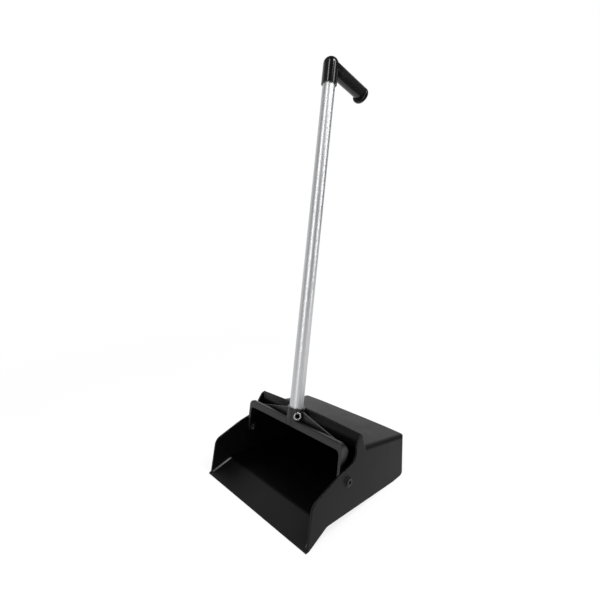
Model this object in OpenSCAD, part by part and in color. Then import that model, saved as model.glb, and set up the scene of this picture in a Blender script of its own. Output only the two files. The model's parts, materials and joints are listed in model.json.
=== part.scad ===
// Lobby dustpan: an open-fronted hooded pan with an upright tube handle on a swinging yoke.
// Millimetres, +Z up, +Y towards the rear, +X to the right as seen from behind the handle.
// The origin is the middle of the lip's resting strip, on the floor.

/* [Pan] */
// outside width of the pan
pan_w = 291; // [250:1:340]
// thickness of the two side walls
wall_t = 3.5; // [2.5:0.1:5]
// thickness of floor, ramp, hood and rear wall
shell_t = 2.8; // [2.2:0.1:4]
// width of the flat strip under the lip
lip_flat = 7; // [4:0.5:8]
// thickness of the lip at its front edge
lip_t = 1.6; // [1.2:0.1:2.4]
// distance from the lip to the ridge at the top of the ramp
ridge_y = 43; // [38:1:50]
// height of the ridge above the floor
ridge_z = 19.5; // [17:0.5:23]
// radius that blends the ramp into the pan floor
ridge_r = 18; // [12:1:60]
// distance from the lip to the flat heel
heel_y = 242; // [225:1:250]
// radius under the rear wall
heel_r = 20; // [8:0.5:22]
// distance from the lip to the top of the rear wall
rear_y = 289; // [280:0.5:310]
// backward lean of the rear wall in degrees
rear_lean = 4.6; // [0:0.1:8]
// radius of the two upright rear corners
corner_r = 11; // [7:0.5:18]

/* [Hood] */
// distance from the lip to the front of the hood
hood_y = 153; // [148:0.5:160]
// height of the hood at its front
hood_z = 105; // [100:0.5:110]
// height of the hood at its rear edge
hood_rear_z = 77; // [70:0.5:85]
// rise of the hood and its upstand in the middle
hood_crown = 4.5; // [2:0.5:6]
// radius along the two side edges of the hood
hood_side_r = 10; // [5:0.5:11]
// radius of the hood's rear edge
hood_r = 14; // [6:0.5:16]
// height of the upstand along the front of the hood
flange_h = 27; // [24:0.5:30]
// thickness of that upstand
flange_t = 4; // [3:0.1:5]
// forward lean of that upstand in degrees
flange_lean = 14; // [10:0.5:18]
// radius of the upstand's two upper corners
flange_end_r = 6; // [4:0.5:10]

/* [Side walls] */
// set-back of the walls behind the lip
wall_set = 1; // [1:0.5:8]
// distance from the lip to the upper front corner
brow_y = 14; // [10:0.5:20]
// height of the upper front corner
brow_z = 66; // [58:0.5:72]
// radius of the upper front corner
brow_r = 18; // [8:0.5:20]
// distance from the lip to the bend in the wall's top
bend_y = 80; // [70:1:88]
// height of that bend
bend_z = 85; // [83:0.5:86.5]
// distance from the lip to the step up towards the hood
step_y = 129; // [124:0.5:132]
// height of the wall top at that step
step_z = 92; // [90:0.5:93]
// radius at the foot of that step
step_r = 20; // [10:0.5:21]
// height where the wall turns back to the upstand
cheek_z = 114; // [113:0.5:117]

/* [Pivots] */
// distance from the lip to the pivots
pivot_y = 103; // [99:0.5:106]
// height of the pivots above the floor
pivot_z = 65; // [62:0.5:68]
// backward lean of the resting handle in degrees
lean = 10.2; // [8:0.1:11]
// diameter of the bolt shoulder
shoulder_d = 10; // [8:0.1:11]
// diameter of the bolt head
head_d = 15; // [14:0.1:18]
// height of the bolt head
head_h = 3; // [2.6:0.1:5]
// diameter of the bolt thread
thread_d = 6; // [5:0.1:7]
// thickness of the lock nuts
nut_h = 3.6; // [3:0.1:5]
// thickness of the washers under the nuts
washer_t = 1.2; // [0.8:0.1:1.6]
// thickness of the soft washers under the bolt heads
seal_t = 1; // [0.8:0.1:2]
// length of the spacers between wall and bush
spacer_h = 6; // [4:0.1:8]
// thickness of the bush flange
bush_flange = 0.7; // [0.6:0.1:1.2]

/* [Yoke] */
// thickness of the two yoke arms
arm_t = 6; // [4.5:0.1:7]
// radius of the eye round each pivot
eye_r = 11; // [9.5:0.1:12]
// how far the yoke stands in front of the pivots
yoke_front = 13; // [12:0.1:14]
// height of the crossbar's lower edge above the pivots
bar_low = 47.5; // [45:0.5:49]
// height of the crossbar's top above the pivots
bar_top = 61.5; // [60:0.5:63]
// wall thickness of the crossbar channel
bar_t = 3; // [2.4:0.1:3.5]
// radius in the upper corners of the yoke frame
frame_r = 8; // [3:0.5:9]
// height of the socket rim above the pivots
socket_top = 83.5; // [80:0.5:87]
// wall thickness of the socket
socket_t = 3.4; // [3:0.1:4.5]
// reach of the two ribs along the crossbar
rib_reach = 108; // [80:1:112]
// thickness of the ribs
rib_t = 4; // [3:0.1:5]
// width of the rest pad behind the socket
pad_w = 22; // [16:1:26]

/* [Handle] */
// outside diameter of the handle tube
tube_d = 28.6; // [25:0.1:30]
// wall thickness of the handle tube
tube_t = 1.4; // [1:0.1:2]
// height of the tube's upper end above the pivots
tube_top = 832; // [720:1:900]
// outside diameter of the grip collar
collar_d = 35.6; // [34.6:0.1:38]
// length of the grip collar below the tube's upper end
collar_drop = 51; // [45:1:60]
// diameter of the grip arm
arm_d = 35.2; // [31:0.1:35.4]
// length of the grip arm from the tube axis to its end cap
arm_len = 110; // [95:1:130]
// droop of the grip arm in degrees
arm_droop = 8; // [0:0.5:15]
// diameter of the end cap
cap_d = 42; // [39:0.5:46]
// thickness of the end cap
cap_len = 11.5; // [10:0.5:16]
// how far the end cap hangs below the grip arm's axis
cap_drop = 5; // [0:0.1:5.5]
// outside diameter of the socket rivet
rivet_d = 17; // [14:0.5:18]
// turn of the socket rivet from the side towards the front in degrees
rivet_turn = 33; // [30:1:45]

/* [Hidden] */
$fn = 72;
small_fn = 40;

black = [0.10, 0.10, 0.11];
dark = [0.15, 0.15, 0.16];
alloy = [0.80, 0.81, 0.83];
steel = [0.70, 0.70, 0.72];
nylon = [0.85, 0.84, 0.80];

// running fit on a radius
run_gap = 0.05;
// clearance round a bolt
hole_gap = 0.1;
// clearance between faces that move past each other
move_gap = 0.3;
// longer than any part of the pan
reach = 400;
// how far a cutter runs past the face that it opens
over = 10;
// overlap where two turned steps join
step_in = 0.5;

// height of the side walls' foot above the ramp at the lip
curb = 0.4;
// radius at the foot of the upstand
foot_r = 2;
// how far the arched outlines stand outside the walls, and their steps over half the width
arch_side = 0.5;
arch_steps = 10;
// radius of the bend in the wall's top
bend_r = 150;
// radius where the wall turns back to the upstand
cheek_r = 6;

// wall thickness of the bushes and the rim of their flanges
bush_t = 1.5;
bush_rim = 2.5;
// rims of the soft washers and of the plain ones, and the wall of the spacers
seal_rim = 1.5;
washer_rim = 1.5;
spacer_t = 2.5;
// chamfer of the bolt heads, depth and share of their key recess, and the thread's bare end
head_edge = 0.8;
key_depth = 2.2;
key_share = 0.44;
thread_end = 0.8;
// nut across its corners as a share of the thread, and its collar
nut_share = 1.9;
nut_collar = 1;
nut_collar_low = 0.78;
nut_collar_high = 0.84;

// side outline of a yoke arm: front edge, toe, neck and the deeper head under the crossbar
edge_r = 2.5;
toe_u = 4;
toe_v = 2;
toe_r = 8;
eye_turn = 36.87;
neck_t = 5.5;
neck_cut = 0.5;
neck_low = 13;
neck_low_r = 3;
neck_high = 23;
neck_high_r = 6;
chin_u = 5;
chin_v = 34;
chin_r = 9;
head_u = 7.5;
head_v = 46;
head_r = 8;
crown_u = -4.5;
crown_r = 4;
// outer radius at the top of the yoke arms
elbow_r = 11;
// rise of the socket's foot above the crossbar's lower edge and the thickness of its floor
socket_rise = 3;
socket_floor = 3;
// ribs: place behind the pivots, drop below the rim, height at the ends and depth in the crossbar
rib_u = 1.4;
rib_drop = 1.5;
rib_tip = 0.9;
rib_sink = 1;
// the rest pad's lower and upper edge below the top of the upstand
pad_low_drop = 13;
pad_high_drop = 2.5;

// socket rivet: gap above the crossbar, barrel, wall, spread end and the boss it sits on
rivet_gap = 0.5;
rivet_share = 0.3;
rivet_t = 1;
spread = 0.8;
spread_t = 1.2;
boss_rim = 0.8;
boss_rise = 1;

// grip: arm and crown below the tube's end, spigot, hollow and the cap's edges
arm_below = 7;
crown_below = 3;
spigot_step = 4;
spigot_len = 6;
spigot_end = 0.2;
hollow_t = 3;
web_t = 6;
cap_low_r = 3;
cap_high_r = 5.5;

function unit(v) = v / norm(v);
// the point where two lines cross, each given by a point and a direction
function meet(p, d, q, e) = p + d * cross(q - p, e) / cross(d, e);
function wrap(a) = a > 180 ? a - 360 : a < -180 ? a + 360 : a;
// one corner of an outline, rounded with its own radius
function corner(a, b, c, r) =
    r <= 0 ? [b] :
    let (u = unit(a - b), w = unit(c - b), half = acos(u * w) / 2,
        o = b + unit(u + w) * r / sin(half),
        s = b + u * r / tan(half) - o, e = b + w * r / tan(half) - o,
        from = atan2(s[1], s[0]), turn = wrap(atan2(e[1], e[0]) - from),
        n = max(3, ceil(abs(turn) / 7)))
    [for (i = [0:n]) o + r * [cos(from + turn * i / n), sin(from + turn * i / n)]];
function flat(p) = [p[0], p[1]];
function rounded(p) = let (n = len(p))
    [for (i = [0:n - 1]) each corner(flat(p[(i + n - 1) % n]), flat(p[i]), flat(p[(i + 1) % n]), p[i][2])];
function at(p, r = 0) = [p[0], p[1], r];

// pan outline in Y and Z
lip = [-lip_flat / 2, lip_t];
ridge = [ridge_y, ridge_z];
heel_top = [heel_y, shell_t];
ramp_dir = unit(ridge - lip);
floor_dir = unit(heel_top - ridge);
floor_down = [floor_dir[1], -floor_dir[0]];
ridge_under = meet([lip_flat / 2, 0], ramp_dir, ridge + floor_down * shell_t, floor_dir);
lip_side = lip + [0, curb];
wall_foot = lip_side + ramp_dir * ((wall_set - lip[0]) / ramp_dir[0]);
rear_dir = [sin(rear_lean), cos(rear_lean)];
rear_top = [rear_y, hood_rear_z];
rear_low = rear_top - rear_dir * hood_rear_z / rear_dir[1];
hood = [hood_y, hood_z];
hood_dir = unit(rear_top - hood);
hood_down = [hood_dir[1], -hood_dir[0]];
flange_dir = [-sin(flange_lean), cos(flange_lean)];
flange_out = [-flange_dir[1], flange_dir[0]];
flange_front = hood + flange_dir * flange_h + flange_out * flange_t;
blank_back = hood + flange_dir * (flange_h + hood_crown + over);
blank_front = blank_back + flange_out * flange_t;
hood_fall = -atan2(hood_dir[1], hood_dir[0]);
hood_high = hood - hood_down * hood_crown;
rear_in = [-rear_dir[1], rear_dir[0]];
rear_line = rear_top + rear_in * shell_t;
heel_inner = meet(heel_top, [1, 0], rear_line, rear_dir);
hood_foot = meet(hood_high, hood_dir, hood, flange_dir);
hood_rear = meet(hood_high, hood_dir, rear_top, rear_dir);
hood_inner = meet(hood_high + hood_down * shell_t, hood_dir, rear_line, rear_dir);
mouth_top = meet(hood_high + hood_down * shell_t, hood_dir, flange_front, flange_dir);
rear_flat = rear_top[0] * cos(rear_lean) - rear_top[1] * sin(rear_lean);

pan_side = [at([-lip_flat / 2, 0]), at([lip_flat / 2, 0]), at(ridge_under, ridge_r - shell_t),
    at([heel_y, 0]), at(rear_low, heel_r), at(hood_rear, hood_r), at(hood_foot, foot_r),
    at(blank_back), at(blank_front), at(flange_front), [step_y, cheek_z, cheek_r], [step_y, step_z, step_r],
    [bend_y, bend_z, bend_r], [brow_y, brow_z, brow_r], at(wall_foot), at(lip_side)];
pan_space = [at(lip - ramp_dir * reach), at(ridge, ridge_r), at(heel_top), at(heel_inner, heel_r - shell_t),
    at(hood_inner, hood_r - shell_t), at(mouth_top), at(mouth_top + flange_dir * reach),
    [-reach, mouth_top[1] + reach, 0]];

wall_out = pan_w / 2;
wall_in = wall_out - wall_t;

// arched outline of hood and upstand, seen from the front, with its zero at the walls
arch_half = wall_out + arch_side;
arch_r = (arch_half * arch_half + hood_crown * hood_crown) / (2 * hood_crown);
function arch(x) = sqrt(arch_r * arch_r - x * x) - arch_r + hood_crown;
function arch_outline(half, r) = concat([[-half, arch(half), r], [-half, -reach, 0], [half, -reach, 0],
    [half, arch(half), r]], [for (i = [arch_steps - 1:-1:1 - arch_steps])
        let (x = half * i / arch_steps) [x, arch(x), 0]]);

// pivot stack, measured along X from the middle
spacer_in = wall_in - spacer_h;
yoke_half = spacer_in - bush_flange - move_gap;
arm_in = yoke_half - arm_t;
shoulder_end = arm_in - move_gap;
nut_out = shoulder_end - washer_t;
nut_in = nut_out - nut_h;
bush_d = shoulder_d + 2 * bush_t;
nut_d = thread_d * nut_share;

// yoke and handle, in a frame along the handle with its origin on the pivots
function local(p) = let (d = p - [pivot_y, pivot_z])
    [d[0] * cos(lean) - d[1] * sin(lean), d[0] * sin(lean) + d[1] * cos(lean)];
neck_u = neck_t - yoke_front;
eye_u = eye_r * cos(eye_turn);
eye_v = eye_r * sin(eye_turn);
arm_side = [[-yoke_front, bar_top, edge_r], [-yoke_front, toe_v, toe_r], [-toe_u, -eye_r, 0],
    [eye_u, -eye_v, 0], [eye_u, eye_v, 0], [neck_u, neck_low, neck_low_r],
    [neck_u - neck_cut, neck_high, neck_high_r], [chin_u, chin_v, chin_r], [head_u, head_v, head_r],
    [crown_u, bar_top, crown_r]];
frame_side = [[-yoke_half, -reach, 0], [-yoke_half, bar_top, elbow_r], [yoke_half, bar_top, elbow_r],
    [yoke_half, -reach, 0], [arm_in, -reach, 0], [arm_in, bar_low, frame_r],
    [-arm_in, bar_low, frame_r], [-arm_in, -reach, 0]];
slope_dir = unit([crown_u - head_u, bar_top - head_v]);
slope_in = [-slope_dir[1], slope_dir[0]];
function slope_v(u) = head_v + (u - head_u) * slope_dir[1] / slope_dir[0];
channel_line = [head_u, head_v] + slope_in * bar_t;
channel_high = bar_top - bar_t;
channel_low = bar_low - over;
bar_channel = [[bar_t - yoke_front, channel_low], [bar_t - yoke_front, channel_high],
    meet([0, channel_high], [1, 0], channel_line, slope_dir),
    meet([0, channel_low], [1, 0], channel_line, slope_dir)];
rib_low = slope_v(rib_u + rib_t / 2) - rib_sink;
rib_end = slope_v(rib_u - rib_t / 2) + rib_tip;
socket_r = tube_d / 2 + run_gap + socket_t;
socket_low = bar_low + socket_rise;
tube_low = socket_low + socket_floor;
rib_high = socket_top - rib_drop;
pad_low = local(flange_front - flange_dir * pad_low_drop + flange_out * move_gap);
pad_high = local(flange_front - flange_dir * pad_high_drop + flange_out * move_gap);
rivet_v = bar_top + rivet_gap + rivet_d / 2;
boss_r = rivet_d / 2 + boss_rim;
boss_out = socket_r + boss_rise;
rivet_r = rivet_d * rivet_share;
rivet_bore_r = rivet_r - rivet_t;
spread_r = rivet_r + spread;
spread_out = sqrt(pow(tube_d / 2 - tube_t, 2) - pow(spread_r, 2)) - run_gap;
rivet_in = spread_out - spread_t;
collar_low = tube_top - collar_drop;
collar_r = collar_d / 2;
arm_v = tube_top - arm_below;
crown_v = tube_top - crown_below;
arm_r = arm_d / 2;
spigot_r = arm_r - spigot_step;
hollow_r = spigot_r - hollow_t;
cap_r = cap_d / 2;

// extrudes an outline drawn in Y and Z along X, about the middle
module across(w) {
    rotate([90, 0, 90]) linear_extrude(w, center = true) children();
}

// extrudes an outline drawn in X and Z along Y, from one depth to another
module along(from, to) {
    translate([0, to, 0]) rotate([90, 0, 0]) linear_extrude(to - from) children();
}

module handle_frame() {
    translate([0, pivot_y, pivot_z]) rotate([-lean, 0, 0]) children();
}

// places something drawn along +Z on the pivot axis, pointing outwards on the given side
module on_pivot(side) {
    translate([0, pivot_y, pivot_z]) rotate([0, 90 * side, 0]) children();
}

module grip_arm() {
    translate([0, 0, arm_v]) rotate([-90 - arm_droop, 0, 0]) children();
}

module rivet_axis() {
    handle_frame() translate([0, 0, rivet_v]) rotate([0, 90, -rivet_turn]) children();
}

module plan(half, rear, r) {
    rotate([-rear_lean, 0, 0]) translate([0, 0, -reach / 2]) linear_extrude(reach)
        polygon(rounded([[-half, -reach / 2, 0], [half, -reach / 2, 0], [half, rear, r], [-half, rear, r]]));
}

// a turned step on the local axis, from one place to another
module rod(d, from, to) {
    translate([0, 0, from]) cylinder(d = d, h = to - from, $fn = small_fn);
}

// a bore along the local axis
module bore(d) {
    cylinder(d = d, h = reach, $fn = small_fn);
}

module flange_frame() {
    translate([0, flange_front[0], flange_front[1]]) rotate([flange_lean, 0, 0]) children();
}

// all that lies under the arched hood, and all that lies in front of a plane along the upstand
module hooded(half, drop, r, front) {
    translate([0, hood[0], hood[1]]) rotate([-hood_fall, 0, 0]) translate([0, 0, -drop])
        along(-reach, reach) polygon(rounded(arch_outline(half + arch_side, r)));
    flange_frame() translate([-reach, front - 2 * reach, -reach]) cube(2 * reach);
}

// what the arched outline trims off the top of the upstand
module arch_trim() {
    flange_frame() along(-reach, reach) difference() {
        translate([-reach, -flange_h / 2]) square([2 * reach, reach]);
        polygon(rounded(arch_outline(arch_half, flange_end_r)));
    }
}

// the moulded pan: lip, ramp, floor, side walls, rear wall, hood and upstand
module pan_body() {
    color(black) difference() {
        intersection() {
            across(pan_w) polygon(rounded(pan_side));
            plan(wall_out, rear_flat, corner_r);
            hooded(wall_out, 0, hood_side_r, flange_t + step_in);
        }
        intersection() {
            across(wall_in * 2) polygon(rounded(pan_space));
            plan(wall_in, rear_flat - shell_t, corner_r - wall_t);
            hooded(wall_in, shell_t, hood_side_r - shell_t, step_in);
        }
        arch_trim();
        on_pivot(1) bore(shoulder_d + 2 * hole_gap);
        on_pivot(-1) bore(shoulder_d + 2 * hole_gap);
    }
}

// the moulded yoke: two arms, a channel crossbar, the tube socket, its ribs and the rest pad
module yoke() {
    color(dark) difference() {
        union() {
            handle_frame() difference() {
                intersection() {
                    along(-reach, reach) polygon(rounded(frame_side));
                    across(reach) union() {
                        polygon(rounded(arm_side));
                        circle(eye_r);
                    }
                }
                across((arm_in - frame_r) * 2) polygon(bar_channel);
            }
            handle_frame() translate([0, 0, socket_low]) cylinder(r = socket_r, h = socket_top - socket_low);
            handle_frame() along(rib_u - rib_t / 2, rib_u + rib_t / 2)
                polygon([[-rib_reach, rib_low], [-rib_reach, rib_end], [0, rib_high],
                    [rib_reach, rib_end], [rib_reach, rib_low]]);
            rivet_axis() rod(2 * boss_r, 0, boss_out);
            handle_frame() across(pad_w)
                polygon([[socket_r / 2, pad_low[1]], pad_low, pad_high, [socket_r / 2, pad_high[1]]]);
        }
        handle_frame() translate([0, 0, tube_low]) cylinder(d = tube_d + 2 * run_gap, h = reach);
        on_pivot(1) bore(bush_d);
        on_pivot(-1) bore(bush_d);
        rivet_axis() bore(2 * (rivet_r + run_gap));
    }
}

// the drawn alloy tube
module handle_tube() {
    length = tube_top - tube_low;
    color(alloy) difference() {
        handle_frame() translate([0, 0, tube_low]) cylinder(d = tube_d, h = length);
        handle_frame() translate([0, 0, tube_low - over])
            cylinder(d = tube_d - 2 * tube_t, h = length + 2 * over);
        rivet_axis() bore(2 * (rivet_r + run_gap));
    }
}

// the moulded grip: a domed collar over the tube end and a hollow arm to the rear
module handle_grip() {
    color(black) handle_frame() difference() {
        union() {
            translate([0, 0, collar_low]) cylinder(r = collar_r, h = crown_v - collar_low);
            translate([0, 0, crown_v]) sphere(r = collar_r);
            grip_arm() cylinder(r = arm_r, h = arm_len);
            grip_arm() cylinder(r = spigot_r, h = arm_len + spigot_len);
        }
        translate([0, 0, collar_low - over]) cylinder(d = tube_d + 2 * run_gap, h = collar_drop + over);
        grip_arm() translate([0, 0, collar_r + web_t]) cylinder(r = hollow_r, h = arm_len);
    }
}

// the finger stop that closes the hollow arm, hung lower than the arm
module grip_end_cap() {
    color(dark) handle_frame() grip_arm() difference() {
        translate([0, cap_drop, arm_len]) rotate_extrude()
            polygon(rounded([[0, 0, 0], [cap_r, 0, cap_low_r], [cap_r, cap_len, cap_high_r],
                [0, cap_len, 0]]));
        translate([0, 0, arm_len - over])
            cylinder(r = spigot_r + run_gap, h = over + spigot_len + spigot_end);
    }
}

// the hollow rivet that holds the tube in the socket: rolled flange outside, spread end inside the tube
module socket_rivet() {
    roll = (rivet_d / 2 - rivet_bore_r) / 2;
    color(steel) rivet_axis() difference() {
        union() {
            rod(2 * rivet_r, rivet_in, boss_out + step_in);
            rod(2 * spread_r, rivet_in, rivet_in + spread_t);
            intersection() {
                translate([0, 0, boss_out]) rotate_extrude()
                    translate([rivet_bore_r + roll, 0]) circle(roll, $fn = small_fn);
                rod(rivet_d + over, boss_out, boss_out + over);
            }
        }
        bore(2 * rivet_bore_r);
    }
}

// a shoulder bolt: low head outside the wall, shoulder through wall and yoke, thread for the nut
module pivot_bolt(side) {
    face = wall_out + seal_t;
    rim = face + head_h - head_edge;
    color(steel) on_pivot(side) difference() {
        union() {
            rod(head_d, face, rim);
            translate([0, 0, rim])
                cylinder(d1 = head_d, d2 = head_d - 2 * head_edge, h = head_edge, $fn = small_fn);
            rod(shoulder_d, shoulder_end, face + step_in);
            rod(thread_d, nut_in - thread_end, shoulder_end + step_in);
        }
        translate([0, 0, face + head_h - key_depth]) cylinder(d = head_d * key_share, h = over, $fn = 6);
    }
}

// a soft black washer between bolt head and wall
module pivot_seal(side) {
    color(black) on_pivot(side) difference() {
        rod(head_d + 2 * seal_rim, wall_out, wall_out + seal_t);
        bore(shoulder_d + 2 * hole_gap);
    }
}

// a plain spacer that holds the yoke off the wall
module pivot_spacer(side) {
    color(steel) on_pivot(side) difference() {
        rod(shoulder_d + 2 * spacer_t, spacer_in, wall_in);
        bore(shoulder_d + 2 * hole_gap);
    }
}

// a flanged bush, pressed into the yoke eye and turning on the shoulder
module pivot_bush(side) {
    color(nylon) on_pivot(side) difference() {
        union() {
            rod(bush_d, arm_in, yoke_half);
            rod(bush_d + 2 * bush_rim, yoke_half, yoke_half + bush_flange);
        }
        bore(shoulder_d + 2 * run_gap);
    }
}

// a plain washer on the shoulder's end
module pivot_washer(side) {
    color(steel) on_pivot(side) difference() {
        rod(bush_d + 2 * washer_rim, nut_out, shoulder_end);
        bore(thread_d + 2 * hole_gap);
    }
}

// a hexagon lock nut with a rounded collar
module pivot_nut(side) {
    color(steel) on_pivot(side) difference() {
        union() {
            translate([0, 0, nut_in + nut_collar]) cylinder(d = nut_d, h = nut_h - nut_collar, $fn = 6);
            translate([0, 0, nut_in]) cylinder(d1 = nut_d * nut_collar_low, d2 = nut_d * nut_collar_high,
                h = nut_collar + step_in, $fn = small_fn);
        }
        bore(thread_d + 2 * run_gap);
    }
}

module pivot_bolt_left() { pivot_bolt(-1); }
module pivot_bolt_right() { pivot_bolt(1); }
module pivot_seal_left() { pivot_seal(-1); }
module pivot_seal_right() { pivot_seal(1); }
module pivot_spacer_left() { pivot_spacer(-1); }
module pivot_spacer_right() { pivot_spacer(1); }
module pivot_bush_left() { pivot_bush(-1); }
module pivot_bush_right() { pivot_bush(1); }
module pivot_washer_left() { pivot_washer(-1); }
module pivot_washer_right() { pivot_washer(1); }
module pivot_nut_left() { pivot_nut(-1); }
module pivot_nut_right() { pivot_nut(1); }

pan_body();
yoke();
handle_tube();
handle_grip();
grip_end_cap();
socket_rivet();
pivot_bolt_left();
pivot_bolt_right();
pivot_seal_left();
pivot_seal_right();
pivot_spacer_left();
pivot_spacer_right();
pivot_bush_left();
pivot_bush_right();
pivot_washer_left();
pivot_washer_right();
pivot_nut_left();
pivot_nut_right();
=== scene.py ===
"""Dresses a lobby dustpan: black mouldings, a drawn alloy tube, a glossy grip, steel fasteners."""

import json
import math

import bmesh
import bpy
from bpy.props import FloatProperty, FloatVectorProperty, PointerProperty
from mathutils import Matrix, Vector


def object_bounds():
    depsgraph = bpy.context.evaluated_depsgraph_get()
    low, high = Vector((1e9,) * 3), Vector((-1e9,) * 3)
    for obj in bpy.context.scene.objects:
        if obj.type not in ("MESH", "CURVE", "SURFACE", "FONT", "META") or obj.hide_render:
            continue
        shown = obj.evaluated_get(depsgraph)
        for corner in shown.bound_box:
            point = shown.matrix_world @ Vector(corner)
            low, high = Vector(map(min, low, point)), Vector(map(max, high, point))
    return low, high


bl_info = {
    "name": "Lobby Dustpan",
    "version": (1, 0, 0),
    "blender": (4, 5, 0),
    "location": "3D View > Sidebar > Dustpan",
    "description": "Finishes, softened mouldings, stage and camera for a lobby dustpan",
    "category": "Object",
}

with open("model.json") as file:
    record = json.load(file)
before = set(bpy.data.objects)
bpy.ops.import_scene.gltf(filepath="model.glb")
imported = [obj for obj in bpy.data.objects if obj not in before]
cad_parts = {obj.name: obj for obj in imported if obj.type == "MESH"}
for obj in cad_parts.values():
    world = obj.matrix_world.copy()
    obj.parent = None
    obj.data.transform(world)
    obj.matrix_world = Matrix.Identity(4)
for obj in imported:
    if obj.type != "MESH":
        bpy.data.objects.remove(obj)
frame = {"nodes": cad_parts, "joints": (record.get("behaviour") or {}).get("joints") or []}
NODES = frame["nodes"]
CAD_LOW, CAD_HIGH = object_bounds()
SWING = next(j for j in frame["joints"] if j["name"] == "handle_swing")
PIVOT = Vector(SWING["pos_m"])
SIDES = ("left", "right")

# Backward lean of the handle at rest, in degrees
HANDLE_LEAN = 10.2

# Plain values of the shaders; a half is the middle of a noise and of a ramp
WHITE, BLACK = (1, 1, 1), (0, 0, 0)
HALF = 0.5

# Moulded plastic: grains to a spark mark, shades of its flow marks, share of grey in its scuffs,
# how its roughness varies, and how much each noise adds to the bump
GRAINS = 2.6
FLOW_DARK, FLOW_PALE = 0.8, 1.25
SCUFFED = 0.28
FLOW_SWAY, GRAIN_SWAY, CORNER_GLOSS = 0.14, 0.1, 0.24
PIT_BUMP, GRAIN_BUMP, PATCH_BUMP, MOULD_BUMP = 0.7, 0.5, 0.5, 0.55

# The yoke and the end cap beside the pan: their share of its roughness, grain size and depth
YOKE_ROUGH, YOKE_FINE, CAP_FINE, SHALLOW = 0.85, 0.8, 0.7, 0.7

# Painted highlight line at the ramp's two ends: half its spread at the lip, in metres, and how far
# it draws in for each metre to the rear
HIGHLIGHT_REACH, HIGHLIGHT_LEAN = 0.1406, 0.19

# Where painted light, painted shade, painted highlights and gloss come and go: a span in metres and
# the (metres, level) stops within it
UPSTAND_HEIGHT = 0.2, ((0.112, 0), (0.118, 1))
RAMP_DEPTH = 0.1, ((0.04, 1), (0.043, 0))
FLOOR_DEPTH = 0.1, ((0.041, 0), (0.044, 1))
FLOOR_HEIGHT = 0.05, ((0.025, 1), (0.03, 0))
HIGHLIGHT_WIDTH = 0.01, ((0.0012, 1), (0.0032, 0))
HIGHLIGHT_LENGTH = 0.05, ((0.001, 0), (0.005, 0.38), (0.04, 1), (0.045, 0))
ARM_START = 0.05, ((0.017, 0), (0.025, 1))

# Painted light across the pan: ramp lengths for each metre from the middle, and the ramp's stops
LEFT_SPREAD, LEFT_STOPS = 3, ((0.1, 0.3), (0.8, 1))
RIGHT_SPREAD, RIGHT_STOPS = 4, ((0.15, 0), (0.5, 1))

# Stops that tell which way a face of the pan looks
FACES_UP = (0.6, 0), (0.8, 1)
FACES_LIP = (0.5, 0), (0.8, 1)
TILTS_TO_LIP = (0.15, 0), (0.3, 1)

# Strength of the pan's painted light and highlights: the least share and what patches add; share of
# painted shade (black) on its floor
UPSTAND_PAINTED_LIGHT, RAMP_PAINTED_LIGHT, HIGHLIGHT_SHARE = (0.7, 0.5), (0.08, 0.06), (0.6, 0.6)
FLOOR_PAINTED_SHADE = 0.75

# Drawn tube: shades, shares of its die lines and bands, how its roughness varies, nicks, bump
TUBE_DULL, TUBE_PALE = 0.8, 1.1
LINE_SHARE, BAND_SHARE = 0.55, 0.45
LINE_SWAY, STAIN_SWAY, NICK_SWAY = 0.06, 0.05, 0.03
NICK_SHARE, NICK_GREY = 0.15, (0.35, 0.35, 0.36)
LINE_DEPTH, LINE_BUMP = 0.00003, 0.12

# Grip: shade of the arm, how its roughness varies, share of smears in the bump, bump
ARM_PALE, SMEAR_SWAY, SMEAR_BUMP = 2.2, 0.06, 0.2
SPECK_DEPTH, SPECK_BUMP = 0.00006, 0.3

# Steel: rings for each metre out and along, edge radius, shades, how its roughness varies, bump
RINGS_OUT, RINGS_ALONG, STEEL_EDGE = 2600, 900, 0.0004
BLOOM_DARK, BARE_SHARE = 0.82, 0.6
RING_SWAY, BLOOM_SWAY = 0.2, 0.12
RING_DEPTH, RING_BUMP = 0.00002, 0.5
ZINC_RIM, OXIDE_RIM, RIVET_RIM = 1.6, 3, 1.2

# Nylon and rubber: shades, how their roughness varies, bump
NYLON_DARK, CLOUD_SWAY, NYLON_DEPTH, NYLON_BUMP = 0.88, 0.2, 0.00003, 0.4
RUBBER_PALE, TOOTH_SWAY, TOOTH_DEPTH, TOOTH_BUMP = 2.2, 0.2, 0.00005, 0.5

# Floor and dark room: sizes in metres, the span and stops over which the paper turns plain white,
# and the number of steps round them and up the room
FLOOR_RADIUS, FLOOR_GAP, ROOM_RADIUS = 9, 0.0003, 3.4
PAPER_FADE = 3, ((0.45, 0), (1.5, 1))
ROUND_STEPS, ROOM_STEPS = 96, 64

# Softboxes and the dark panel: place, aim and size in metres
TOP_PLACE, TOP_SIZE = Vector((-0.2, 0.5, 2.3)), (1.6, 1.6)
LEFT_PLACE, RIGHT_PLACE = Vector((0.519, -1.164, 1.35)), Vector((1.36, 0.84, 1.35))
STRIP_AIM, STRIP_SIZE = Vector((0, 0.245, 0.75)), (0.28, 2.5)
KEY_PLACE, KEY_SIZE = Vector((1.07, 0.31, 1.8)), (0.4, 0.4)
FLAG_PLACE, FLAG_AIM, FLAG_SIZE = Vector((0.16, 0.415, 0.7)), Vector((0, 0.31, 0.86)), (0.16, 0.46)

# Rays that look at the white surround, and those that pass the dark room and the panel by
RAYS = ("Is Camera Ray", "Is Glossy Ray", "Is Transmission Ray")
PASSING = ("camera", "diffuse", "shadow", "transmission", "volume_scatter")

# Nearest and furthest distance that the camera shows, in metres
CLIP = 0.01, 50


def colour(name, note, value):
    """A setting for a colour"""
    return FloatVectorProperty(
        name=name, description=note, default=value, size=3, subtype="COLOR", min=0, max=1
    )


def length(name, note, value, top):
    """A setting for a length in metres, up to a top value"""
    return FloatProperty(
        name=name, description=note, default=value, min=0, max=top, precision=5, unit="LENGTH"
    )


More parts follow.
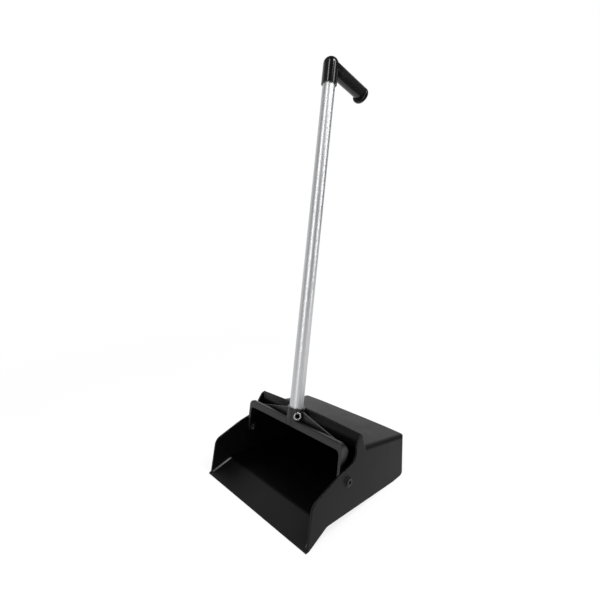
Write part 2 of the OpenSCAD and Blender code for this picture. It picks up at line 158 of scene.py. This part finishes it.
def share(name, note, value):
    """A setting from 0 to 1"""
    return FloatProperty(
        name=name, description=note, default=value, min=0, max=1, subtype="FACTOR"
    )


def angle(name, note, value):
    """A setting for an angle in radians"""
    return FloatProperty(
        name=name, description=note, default=value, precision=4, subtype="ANGLE", unit="ROTATION"
    )


def power(name, note, value):
    """A setting for a lamp's power in watts"""
    return FloatProperty(name=name, description=note, default=value, min=0, unit="POWER")


class DustpanLooks(bpy.types.PropertyGroup):
    """Colours and surface sizes of the dustpan's pieces"""

    pan_black: colour("Pan black", "Colour of the moulded pan", (0.0022, 0.0022, 0.0024))
    yoke_black: colour("Yoke black", "Colour of the moulded yoke", (0.0034, 0.0034, 0.0036))
    grip_black: colour("Grip black", "Colour of the hand grip", (0.003, 0.003, 0.0032))
    cap_black: colour("End cap black", "Colour of the grip's end cap", (0.003, 0.003, 0.003))
    scuff_grey: colour("Scuff grey", "Colour of rubbed plastic", (0.03, 0.03, 0.031))
    tube_alloy: colour("Tube alloy", "Colour of the drawn handle tube", (0.58, 0.585, 0.595))
    zinc: colour("Zinc", "Colour of the plated fasteners", (0.16, 0.16, 0.164))
    rivet: colour("Rivet", "Colour of the socket rivet", (0.36, 0.36, 0.365))
    oxide: colour("Oxide", "Colour of the blackened bolts", (0.035, 0.035, 0.037))
    nylon: colour("Nylon", "Colour of the pivot bushes", (0.78, 0.76, 0.7))
    # Painted light: a lighter grey on the upstand's front and on the ramp
    painted_lit_grey: colour("Film", "Colour of the worn upstand and the swept ramp", (0.045, 0.045, 0.046))
    # Grey painted highlight along the lines where the ramp meets the side walls
    painted_highlight_grey: colour("Rub", "Colour of the rubbed line at the ramp's two ends", (0.22, 0.22, 0.222))
    rubber: colour("Rubber", "Colour of the soft washers", (0.012, 0.012, 0.012))
    pan_round: length("Pan rounding", "Radius shown on the pan's moulded edges", 0.0022, 0.0024)
    yoke_round: length("Yoke rounding", "Radius shown on the yoke's moulded edges", 0.0013, 0.0024)
    cap_round: length("End cap rounding", "Radius shown on the end cap's edges", 0.001, 0.0024)
    spark: length("Spark texture", "Size of the moulded surface grain", 0.0009, 0.005)
    spark_depth: length("Spark depth", "Depth of the moulded surface grain", 0.00006, 0.001)
    pan_rough: share("Pan roughness", "Roughness of the pan's plastic", 0.42)
    collar_rough: share("Collar roughness", "Roughness of the glossy grip collar", 0.13)
    arm_rough: share("Grip arm roughness", "Roughness of the satin grip arm", 0.17)
    tube_rough: share("Tube roughness", "Roughness of the drawn tube", 0.44)
    zinc_rough: share("Zinc roughness", "Roughness of the plated fasteners", 0.3)
    rivet_rough: share("Rivet roughness", "Roughness of the socket rivet", 0.12)
    oxide_rough: share("Oxide roughness", "Roughness of the blackened bolts", 0.36)
    nylon_rough: share("Nylon roughness", "Roughness of the pivot bushes", 0.42)
    rubber_rough: share("Rubber roughness", "Roughness of the soft washers", 0.75)
    pan_shine: share("Pan shine", "Specular level of the pan's plastic", 0.13)
    yoke_shine: share("Yoke shine", "Specular level of the yoke's plastic", 0.42)
    grip_shine: share("Grip shine", "Specular level of the grip's plastic", 0.4)
    cap_shine: share("End cap shine", "Specular level of the end cap's plastic", 0.25)
    rubber_shine: share("Rubber shine", "Specular level of the soft washers", 0.3)


class DustpanStage(bpy.types.PropertyGroup):
    """Camera and light of the dustpan's stage"""

    place: FloatVectorProperty(
        name="Camera place",
        description="Where the camera stands",
        default=(0.57364, -0.40858, 0.50115),
        size=3,
        precision=4,
        subtype="TRANSLATION",
        unit="LENGTH",
    )
    turn: angle("Camera turn", "Turn of the camera about the upright", 0.80805)
    pitch: angle("Camera pitch", "Downward pitch of the camera", 0.01649)
    roll: angle("Camera roll", "Roll of the camera", -0.02476)
    lens: FloatProperty(
        name="Lens", description="Focal length on a 36 mm frame", default=22.96322, unit="CAMERA"
    )
    rise: FloatProperty(
        name="Lens rise", description="Lens shift that the framing needs", default=-0.1
    )
    paper: colour("Paper", "Colour of the floor sheet", (0.9, 0.9, 0.9))
    paper_white: share("Paper white", "How far the floor near the object is shown plain white", 0.8)
    room: share("Room", "Level of the dark room over and behind the camera", 0.07)
    room_left: share("Room left", "How much lighter the room is to the left", 0.36)
    room_right: share("Room right", "How much lighter the room is to the right", 0.05)
    room_rim: angle("Room rim", "Height of the dark room's rim over the backdrop", 0.85)
    reach_left: angle("Reach left", "How far the dark room reaches round to the left", 1.75)
    reach_right: angle("Reach right", "How far the dark room reaches round to the right", 2.2)
    fill: share("Fill", "Level of the white surround for soft light", 0.6)
    top_power: power("Top softbox", "Power of the overhead softbox", 12)
    strip_power: power("Strip softboxes", "Power of each upright strip softbox", 17)
    key_power: power("Key softbox", "Power of the softbox high on the right", 9)


class Wire:
    """A shader socket that can be used in sums"""

    def __init__(self, finish, socket):
        self.finish = finish
        self.socket = socket

    def _math(self, operation, a, b=0):
        return self.finish.add("ShaderNodeMath", {"operation": operation}, {0: a, 1: b})

    def __add__(self, other):
        return self._math("ADD", self, other)

    __radd__ = __add__

    def __sub__(self, other):
        return self._math("SUBTRACT", self, other)

    def __rsub__(self, other):
        return self._math("SUBTRACT", other, self)

    def __mul__(self, other):
        return self._math("MULTIPLY", self, other)

    __rmul__ = __mul__

    def __truediv__(self, other):
        return self._math("DIVIDE", self, other)

    def __rtruediv__(self, other):
        return self._math("DIVIDE", other, self)

    def __pow__(self, other):
        return self._math("POWER", self, other)

    def __rpow__(self, other):
        return self._math("POWER", other, self)

    def at_most(self, other):
        return self._math("MINIMUM", self, other)

    def at_least(self, other):
        return self._math("MAXIMUM", self, other)

    def size(self):
        """Its value without the sign"""
        return self._math("ABSOLUTE", self)

    def sway(self, reach):
        """A noise turned into a sway about zero"""
        return (self - HALF) * reach


class Finish:
    """A material, or a world, and the nodes that make it"""

    def __init__(self, owner):
        owner.use_nodes = True
        self.owner = owner
        self.tree = owner.node_tree
        self.tree.nodes.clear()

    def add(self, kind, settings=None, sockets=None, out=0):
        """Adds a node: its settings first, then the values or wires of its sockets"""
        node = self.tree.nodes.new(kind)
        for name, value in (settings or {}).items():
            if name == "stops":
                ramp = node.color_ramp
                while len(ramp.elements) < len(value):
                    ramp.elements.new(1)
                for element, (place, level) in zip(ramp.elements, value):
                    element.position = place
                    element.color = (level, level, level, 1)
            else:
                setattr(node, name, value)
        for key, value in (sockets or {}).items():
            if isinstance(value, Wire):
                self.tree.links.new(value.socket, node.inputs[key])
            else:
                node.inputs[key].default_value = value
        return Wire(self, node.outputs[out]) if node.outputs else None

    def place(self):
        """The point on the part, in metres"""
        return self.add("ShaderNodeTexCoord", out="Object")

    def normal(self):
        """The way that the true surface looks"""
        return self.add("ShaderNodeNewGeometry", out="Normal")

    def parts(self, vector):
        """The three numbers of a vector"""
        first = self.add("ShaderNodeSeparateXYZ", None, {0: vector})
        return [Wire(self, s) for s in first.socket.node.outputs]

    def point(self, x, y, z):
        """A vector from three numbers"""
        return self.add("ShaderNodeCombineXYZ", None, {0: x, 1: y, 2: z})

    def noise(self, vector, scale, detail=2.0, rough=0.5, warp=0.0):
        """Soft noise; the scale is in marks for each metre"""
        return self.add(
            "ShaderNodeTexNoise",
            {"noise_dimensions": "3D"},
            {
                "Vector": vector,
                "Scale": scale,
                "Detail": detail,
                "Roughness": rough,
                "Distortion": warp,
            },
        )

    def drawn(self, parts, across, along, **kind):
        """Noise with one scale across the handle and another along it"""
        x, u, v = parts
        return self.noise(self.point(x * across, u * across, v * along), scale=1, **kind)

    def cells(self, vector, scale):
        """Rounded pits; the scale is in pits for each metre"""
        return self.add(
            "ShaderNodeTexVoronoi",
            {"feature": "SMOOTH_F1", "voronoi_dimensions": "3D"},
            {"Vector": vector, "Scale": scale},
        )

    def ramp(self, value, *stops):
        """A number read through a grey ramp of (place, level) stops"""
        return self.add("ShaderNodeValToRGB", {"stops": stops}, {0: value})

    def over(self, reach, span, stops):
        """A length read through a grey ramp of (metres, level) stops that lie within a span"""
        return self.ramp(reach / span, *[(metres / span, level) for metres, level in stops])

    def mix(self, amount, a, b):
        """A colour between two colours"""
        return self.add(
            "ShaderNodeMix", {"data_type": "RGBA"}, {0: amount, 6: opaque(a), 7: opaque(b)}, out=2
        )

    def rounded(self, radius):
        """The surface normal with its edges softened to a radius"""
        return self.add("ShaderNodeBevel", {"samples": 6}, {"Radius": radius})

    def edges(self, normal):
        """How far the softened normal leaves the true one: high along the edges"""
        facing = self.add(
            "ShaderNodeVectorMath",
            {"operation": "DOT_PRODUCT"},
            {0: normal, 1: self.normal()},
            out="Value",
        )
        return 1 - facing

    def bump(self, height, depth, strength, normal=None):
        """The surface normal with a height added, over a softened normal where one is given"""
        sockets = {"Strength": strength, "Distance": depth, "Height": height}
        if normal is not None:
            sockets["Normal"] = normal
        return self.add("ShaderNodeBump", None, sockets)

    def looked_at(self):
        """1 for rays from the camera and those that metal or glass sends on, otherwise 0"""
        rays = self.add("ShaderNodeLightPath").socket.node.outputs
        seen, mirrored, through = [Wire(self, rays[name]) for name in RAYS]
        return seen.at_least(mirrored).at_least(through)

    def surface(self, sockets):
        """Ends the material with a shader; constants sit on its own sockets"""
        shader = self.add("ShaderNodeBsdfPrincipled", None, sockets)
        self.add("ShaderNodeOutputMaterial", None, {"Surface": shader})
        return self.owner


def opaque(value):
    """A colour with full alpha; a wire stays as it is"""
    return value if isinstance(value, Wire) else (*value, 1.0)


def shade(tint, amount):
    """A colour made darker or paler"""
    return [min(1, c * amount) for c in tint]


def new_finish(name):
    """An empty material to build a finish in"""
    return Finish(bpy.data.materials.new(name))


def moulded_black(name, looks, black, rough, rounding, shine, fine=1, shallow=1, painted_light=None):
    """Satin black moulding: spark-eroded grain, flow marks, rubbed edges, glossy corners"""
    f = new_finish(name)
    p = f.place()
    spark = looks.spark * fine
    pits = f.cells(p, 1 / spark)
    grain = f.noise(p, GRAINS / spark)
    flow = f.noise(p, scale=22, detail=4, rough=0.55, warp=0.6)
    patches = f.noise(p, scale=160, detail=3, rough=0.6)
    soft = f.rounded(rounding)
    edge = f.ramp(f.edges(soft), (0.02, 0), (0.25, 1))
    rubbed = edge * f.ramp(patches, (0.42, 0), (0.7, 1))
    marks = f.ramp(flow, (0.3, 0), (0.75, 1))
    tint = f.mix(marks, shade(black, FLOW_DARK), shade(black, FLOW_PALE))
    tint = f.mix(rubbed * SCUFFED, tint, looks.scuff_grey)
    # Painted light and shade, where a function for them is given
    if painted_light:
        tint = painted_light(f, p, looks, tint, patches)
    gloss = rough + flow.sway(FLOW_SWAY) + grain.sway(GRAIN_SWAY) - edge * CORNER_GLOSS
    height = pits * PIT_BUMP + grain * GRAIN_BUMP + patches * PATCH_BUMP
    return f.surface(
        {
            "Base Color": tint,
            "Roughness": gloss,
            "Specular IOR Level": shine,
            "Normal": f.bump(height, looks.spark_depth * shallow, MOULD_BUMP, soft),
        }
    )


def painted_pan_light(f, p, looks, tint, patches):
    """The pan's painted light and shade: paler upstand and ramp, blacker floor, highlights at ramp
    ends
    """

    def patchy(least, more):
        return least + patches * more

    x, y, z = f.parts(p)
    _, ny, nz = f.parts(f.normal())
    lipward = 0 - ny
    flat = f.ramp(nz, *FACES_UP)

    # Painted light on the upstand's front, where the handle leans; most of it to the left
    upstand = f.over(z, *UPSTAND_HEIGHT) * f.ramp(lipward, *FACES_LIP)
    upstand = upstand * f.ramp(HALF - x * LEFT_SPREAD, *LEFT_STOPS)
    tint = f.mix(upstand * patchy(*UPSTAND_PAINTED_LIGHT), tint, looks.painted_lit_grey)

    # Painted light on the ramp before the ridge; most of it to the right
    painted_lit = flat * f.ramp(lipward, *TILTS_TO_LIP) * f.over(y, *RAMP_DEPTH)
    painted_lit = painted_lit * f.ramp(HALF + x * RIGHT_SPREAD, *RIGHT_STOPS)
    tint = f.mix(painted_lit * patchy(*RAMP_PAINTED_LIGHT), tint, looks.painted_lit_grey)

    # Painted shade: the floor behind the ridge made blacker
    floor = flat * f.over(y, *FLOOR_DEPTH) * f.over(z, *FLOOR_HEIGHT)
    tint = f.mix(floor * FLOOR_PAINTED_SHADE, tint, BLACK)

    # Painted highlight along the lines where the ramp meets the side walls
    off_line = (x.size() + y * HIGHLIGHT_LEAN - HIGHLIGHT_REACH).size()
    line = f.over(off_line, *HIGHLIGHT_WIDTH) * f.over(y, *HIGHLIGHT_LENGTH) * flat
    return f.mix(line * patchy(*HIGHLIGHT_SHARE), tint, looks.painted_highlight_grey)


def handle_place(f):
    """The point on the part in a frame whose third number runs along the handle"""
    lean = f.add(
        "ShaderNodeVectorRotate",
        {"rotation_type": "X_AXIS"},
        {"Vector": f.place(), "Center": tuple(PIVOT), "Angle": math.radians(HANDLE_LEAN)},
    )
    return f.add(
        "ShaderNodeVectorMath", {"operation": "SUBTRACT"}, {0: lean, 1: tuple(PIVOT)}
    )


def drawn_alloy(looks):
    """Drawn alloy tube: fine lengthwise die lines, faint stains, a satin sheen"""
    f = new_finish("tube_alloy")
    parts = f.parts(handle_place(f))
    lines = f.drawn(parts, across=1500, along=2.5, detail=3, rough=0.6)
    bands = f.drawn(parts, across=240, along=0.8)
    stain = f.noise(f.place(), scale=45, detail=4, rough=0.6)
    nicks = f.ramp(f.drawn(parts, across=600, along=90, detail=1), (0.7, 0), (0.8, 1))
    level = f.ramp(lines * LINE_SHARE + bands * BAND_SHARE, (0.3, 0), (0.7, 1))
    tint = f.mix(level, shade(looks.tube_alloy, TUBE_DULL), shade(looks.tube_alloy, TUBE_PALE))
    gloss = looks.tube_rough + lines.sway(LINE_SWAY) + stain.sway(STAIN_SWAY) + nicks * NICK_SWAY
    return f.surface(
        {
            "Base Color": f.mix(nicks * NICK_SHARE, tint, NICK_GREY),
            "Metallic": 1.0,
            "Roughness": gloss,
            "Normal": f.bump(lines, LINE_DEPTH, LINE_BUMP),
        }
    )


def grip_gloss(looks):
    """Glossy black collar that turns satin along the arm, with moulded speckle"""
    f = new_finish("grip_plastic")
    _, u, _ = f.parts(handle_place(f))
    speck = f.noise(f.place(), scale=900)
    smear = f.noise(f.place(), scale=60, detail=4, rough=0.6, warp=0.8)
    arm = f.over(u, *ARM_START)
    spread = looks.arm_rough - looks.collar_rough
    return f.surface(
        {
            "Base Color": f.mix(arm, looks.grip_black, shade(looks.grip_black, ARM_PALE)),
            "Roughness": looks.collar_rough + arm * spread + smear.sway(SMEAR_SWAY),
            "Specular IOR Level": looks.grip_shine,
            "Normal": f.bump(speck * arm + smear * SMEAR_BUMP, SPECK_DEPTH, SPECK_BUMP),
        }
    )


def turned_steel(name, metal, rough, rim, turned=True):
    """Plated steel with bare rims: turned in rings about the pivots' axis, or evenly grained"""
    f = new_finish(name)
    p = f.place()
    if turned:
        x, y, z = f.parts(p)
        y, z = y - PIVOT.y, z - PIVOT.z
        radius = (y * y + z * z) ** 0.5
        rings = f.noise(f.point(radius * RINGS_OUT, x * RINGS_ALONG, 0.0), scale=1)
    else:
        rings = f.noise(p, scale=1400)
    bloom = f.noise(p, scale=260, detail=4, rough=0.6, warp=0.5)
    soft = f.rounded(STEEL_EDGE)
    bare = f.ramp(f.edges(soft), (0.03, 0), (0.3, 1))
    tint = f.mix(f.ramp(bloom, (0.35, 0), (0.7, 1)), shade(metal, BLOOM_DARK), metal)
    return f.surface(
        {
            "Base Color": f.mix(bare * BARE_SHARE, tint, shade(metal, rim)),
            "Metallic": 1.0,
            "Roughness": rough + rings.sway(RING_SWAY) + bloom.sway(BLOOM_SWAY),
            "Normal": f.bump(rings, RING_DEPTH, RING_BUMP, soft),
        }
    )


def natural_nylon(looks):
    """Natural nylon: milky, faintly mottled"""
    f = new_finish("bush_nylon")
    cloud = f.noise(f.place(), scale=420, detail=4, rough=0.6)
    fine = f.noise(f.place(), scale=2400)
    milk = f.ramp(cloud, (0.3, 0), (0.7, 1))
    return f.surface(
        {
            "Base Color": f.mix(milk, shade(looks.nylon, NYLON_DARK), looks.nylon),
            "Roughness": looks.nylon_rough + cloud.sway(CLOUD_SWAY),
            "Normal": f.bump(fine, NYLON_DEPTH, NYLON_BUMP),
        }
    )


def soft_rubber(looks):
    """Dull rubber with a fine tooth and a little bloom"""
    f = new_finish("seal_rubber")
    tooth = f.noise(f.place(), scale=3000)
    bloom = f.ramp(f.noise(f.place(), scale=300, detail=4, rough=0.6), (0.4, 0), (0.75, 1))
    return f.surface(
        {
            "Base Color": f.mix(bloom, looks.rubber, shade(looks.rubber, RUBBER_PALE)),
            "Roughness": looks.rubber_rough + tooth.sway(TOOTH_SWAY),
            "Specular IOR Level": looks.rubber_shine,
            "Normal": f.bump(tooth, TOOTH_DEPTH, TOOTH_BUMP),
        }
    )


def wear(node, material):
    """Gives a CAD node its finish"""
    slots = NODES[node].data.materials
    slots.clear()
    slots.append(material)


def tilted(first, second, by):
    """Two square axes turned by an angle in their own plane"""
    c, s = math.cos(by), math.sin(by)
    return first * c + second * s, second * c - first * s


class DUSTPAN_OT_pan(bpy.types.Operator):
    """Finishes the moulded pan"""

    bl_idname = "dustpan.pan"
    bl_label = "Pan"

    def execute(self, context):
        looks = context.scene.dustpan_looks
        plastic = moulded_black(
            "pan_plastic",
            looks,
            looks.pan_black,
            rough=looks.pan_rough,
            rounding=looks.pan_round,
            shine=looks.pan_shine,
            painted_light=painted_pan_light,
        )
        wear("pan_body", plastic)
        return {"FINISHED"}


class DUSTPAN_OT_yoke(bpy.types.Operator):
    """Finishes the moulded yoke"""

    bl_idname = "dustpan.yoke"
    bl_label = "Yoke"

    def execute(self, context):
        looks = context.scene.dustpan_looks
        plastic = moulded_black(
            "yoke_plastic",
            looks,
            looks.yoke_black,
            rough=looks.pan_rough * YOKE_ROUGH,
            rounding=looks.yoke_round,
            shine=looks.yoke_shine,
            fine=YOKE_FINE,
            shallow=SHALLOW,
        )
        wear("yoke", plastic)
        return {"FINISHED"}


class DUSTPAN_OT_handle(bpy.types.Operator):
    """Finishes the handle tube"""

    bl_idname = "dustpan.handle"
    bl_label = "Handle tube"

    def execute(self, context):
        wear("handle_tube", drawn_alloy(context.scene.dustpan_looks))
        return {"FINISHED"}


class DUSTPAN_OT_grip(bpy.types.Operator):
    """Finishes the hand grip and its end cap"""

    bl_idname = "dustpan.grip"
    bl_label = "Grip"

    def execute(self, context):
        looks = context.scene.dustpan_looks
        wear("handle_grip", grip_gloss(looks))
        plastic = moulded_black(
            "cap_plastic",
            looks,
            looks.cap_black,
            rough=looks.arm_rough,
            rounding=looks.cap_round,
            shine=looks.cap_shine,
            fine=CAP_FINE,
            shallow=SHALLOW,
        )
        wear("grip_end_cap", plastic)
        return {"FINISHED"}


class DUSTPAN_OT_fasteners(bpy.types.Operator):
    """Finishes the rivet and the two pivot stacks"""

    bl_idname = "dustpan.fasteners"
    bl_label = "Fasteners"

    def execute(self, context):
        looks = context.scene.dustpan_looks
        zinc = turned_steel("fastener_steel", looks.zinc, looks.zinc_rough, ZINC_RIM)
        oxide = turned_steel("bolt_steel", looks.oxide, looks.oxide_rough, OXIDE_RIM)
        rivet = turned_steel("rivet_steel", looks.rivet, looks.rivet_rough, RIVET_RIM, turned=False)
        nylon = natural_nylon(looks)
        rubber = soft_rubber(looks)
        wear("socket_rivet", rivet)
        for side in SIDES:
            wear(f"pivot_bolt_{side}", oxide)
            wear(f"pivot_seal_{side}", rubber)
            wear(f"pivot_bush_{side}", nylon)
            for piece in ("spacer", "washer", "nut"):
                wear(f"pivot_{piece}_{side}", zinc)
        return {"FINISHED"}


class DUSTPAN_OT_stage(bpy.types.Operator):
    """Lays the floor, lights it softly and sets up the camera"""

    bl_idname = "dustpan.stage"
    bl_label = "Stage"

    def execute(self, context):
        stage = context.scene.dustpan_stage
        context.scene.view_settings.view_transform = "Standard"
        self.surround(context.scene, stage)
        self.floor(stage)
        middle = (CAD_LOW + CAD_HIGH) / 2
        self.room(stage, middle)
        top = self.softbox("top_softbox", TOP_PLACE, middle, TOP_SIZE, stage.top_power)
        top.visible_glossy = False
        for name, place in (("left_strip", LEFT_PLACE), ("right_strip", RIGHT_PLACE)):
            self.softbox(name, place, STRIP_AIM, STRIP_SIZE, stage.strip_power)
        self.softbox("key_softbox", KEY_PLACE, CAD_LOW, KEY_SIZE, stage.key_power)
        self.flag(stage)
        self.camera(context.scene, stage)
        return {"FINISHED"}

    def surround(self, scene, stage):
        """White all round, at full strength where it is looked at and dimmer as a fill light"""
        world = bpy.data.worlds.new("surround")
        scene.world = world
        f = Finish(world)
        strength = stage.fill + f.looked_at() * (1 - stage.fill)
        light = f.add("ShaderNodeBackground", None, {"Color": opaque(WHITE), "Strength": strength})
        f.add("ShaderNodeOutputWorld", None, {"Surface": light})

    def floor(self, stage):
        """A pale sheet that keeps the shadow and is plain white further out"""
        mesh = bpy.data.meshes.new("floor")
        bm = bmesh.new()
        bmesh.ops.create_circle(bm, cap_ends=True, segments=ROUND_STEPS, radius=FLOOR_RADIUS)
        bm.to_mesh(mesh)
        bm.free()
        sheet = bpy.data.objects.new("floor", mesh)
        sheet.location.z = CAD_LOW.z - FLOOR_GAP
        bpy.context.scene.collection.objects.link(sheet)
        f = new_finish("floor_paper")
        shown = f.looked_at()
        paper = f.add("ShaderNodeBsdfDiffuse", None, {"Color": opaque(stage.paper)})
        white = f.add("ShaderNodeEmission", None, {"Color": opaque(WHITE), "Strength": 1.0})
        x, y, _ = f.parts(f.place())
        far = f.over((x * x + y * y) ** 0.5, *PAPER_FADE)
        plain = stage.paper_white + far * (1 - stage.paper_white)
        both = f.add("ShaderNodeMixShader", None, {0: shown * plain, 1: paper, 2: white})
        f.add("ShaderNodeOutputMaterial", None, {"Surface": both})
        mesh.materials.append(f.owner)

    def room(self, stage, middle):
        """A dark room over and behind the camera, which only reflections show"""
        mesh = bpy.data.meshes.new("dark_room")
        bm = bmesh.new()
        bmesh.ops.create_uvsphere(
            bm, u_segments=ROUND_STEPS, v_segments=ROOM_STEPS, radius=ROOM_RADIUS
        )
        back = Vector((math.sin(stage.turn), -math.cos(stage.turn)))
        right = Vector((math.cos(stage.turn), math.sin(stage.turn)))
        open_faces = []
        for face in bm.faces:
            spot = face.calc_center_median().normalized()
            side = math.atan2(spot.xy.dot(right), spot.xy.dot(back))
            behind = not -stage.reach_left < side < stage.reach_right
            if spot.z < 0 or (behind and spot.z < math.sin(stage.room_rim)):
                open_faces.append(face)
        bmesh.ops.delete(bm, geom=open_faces, context="FACES")
        bm.to_mesh(mesh)
        bm.free()
        f = new_finish("dark_room")
        x, y, _ = f.parts(f.place())
        side = (x * right.x + y * right.y) / ROOM_RADIUS
        level = stage.room + side.at_least(0) * stage.room_right - side.at_most(0) * stage.room_left
        shell = self.reflected(f, mesh, level)
        shell.location = (middle.x, middle.y, CAD_LOW.z)

    def flag(self, stage):
        """A dark panel below the grip's arm, which only reflections show"""
        mesh = bpy.data.meshes.new("dark_flag")
        bm = bmesh.new()
        bmesh.ops.create_grid(bm, x_segments=1, y_segments=1, size=HALF)
        bmesh.ops.scale(bm, vec=(*FLAG_SIZE, 1), verts=bm.verts)
        bm.to_mesh(mesh)
        bm.free()
        panel = self.reflected(new_finish("dark_flag"), mesh, shade(WHITE, stage.room))
        panel.location = FLAG_PLACE
        panel.rotation_euler = (FLAG_AIM - FLAG_PLACE).to_track_quat("Z", "Y").to_euler()

    def reflected(self, f, mesh, tone):
        """Puts a glowing mesh on the stage that is seen in reflections alone"""
        glow = f.add("ShaderNodeEmission", None, {"Color": opaque(tone), "Strength": 1.0})
        f.add("ShaderNodeOutputMaterial", None, {"Surface": glow})
        mesh.materials.append(f.owner)
        shell = bpy.data.objects.new(mesh.name, mesh)
        for rays in PASSING:
            setattr(shell, "visible_" + rays, False)
        bpy.context.scene.collection.objects.link(shell)
        return shell

    def softbox(self, name, place, aim, size, watts):
        """An area lamp that the camera doesn't see"""
        lamp = bpy.data.lights.new(name, "AREA")
        lamp.shape = "RECTANGLE"
        lamp.size, lamp.size_y = size
        lamp.energy = watts
        box = bpy.data.objects.new(name, lamp)
        box.location = place
        box.rotation_euler = (aim - place).to_track_quat("-Z", "Y").to_euler()
        box.visible_camera = False
        bpy.context.scene.collection.objects.link(box)
        return box

    def camera(self, scene, stage):
        """Stands the camera at the photograph's viewing angle"""
        eye = bpy.data.cameras.new("camera")
        eye.lens = stage.lens
        eye.shift_y = stage.rise
        eye.clip_start, eye.clip_end = CLIP
        right = Vector((math.cos(stage.turn), math.sin(stage.turn), 0))
        ahead = Vector((-math.sin(stage.turn), math.cos(stage.turn), 0))
        up = Vector((0, 0, 1))
        ahead, up = tilted(ahead, up, -stage.pitch)
        right, up = tilted(right, up, stage.roll)
        view = bpy.data.objects.new("camera", eye)
        axes = Matrix((right, up, -ahead)).transposed().to_4x4()
        view.matrix_world = Matrix.Translation(stage.place) @ axes
        scene.collection.objects.link(view)
        scene.camera = view


class DUSTPAN_PT_panel(bpy.types.Panel):
    """Lists the dustpan's pieces and their settings"""

    bl_idname = "DUSTPAN_PT_panel"
    bl_label = "Lobby dustpan"
    bl_space_type = "VIEW_3D"
    bl_region_type = "UI"
    bl_category = "Dustpan"

    def draw(self, context):
        for operator in OPERATORS:
            self.layout.operator(operator.bl_idname)
        for group in (context.scene.dustpan_looks, context.scene.dustpan_stage):
            box = self.layout.box()
            for name in group.__annotations__:
                box.prop(group, name)


OPERATORS = (
    DUSTPAN_OT_stage,
    DUSTPAN_OT_pan,
    DUSTPAN_OT_yoke,
    DUSTPAN_OT_handle,
    DUSTPAN_OT_grip,
    DUSTPAN_OT_fasteners,
)
CLASSES = (DustpanLooks, DustpanStage, *OPERATORS, DUSTPAN_PT_panel)


def register():
    for cls in CLASSES:
        bpy.utils.register_class(cls)
    bpy.types.Scene.dustpan_looks = PointerProperty(type=DustpanLooks)
    bpy.types.Scene.dustpan_stage = PointerProperty(type=DustpanStage)


def unregister():
    del bpy.types.Scene.dustpan_stage
    del bpy.types.Scene.dustpan_looks
    for cls in reversed(CLASSES):
        bpy.utils.unregister_class(cls)


def main():
    register()
    bpy.ops.dustpan.stage()
    bpy.ops.dustpan.pan()
    bpy.ops.dustpan.yoke()
    bpy.ops.dustpan.handle()
    bpy.ops.dustpan.grip()
    bpy.ops.dustpan.fasteners()


if __name__ == "__main__":
    main()
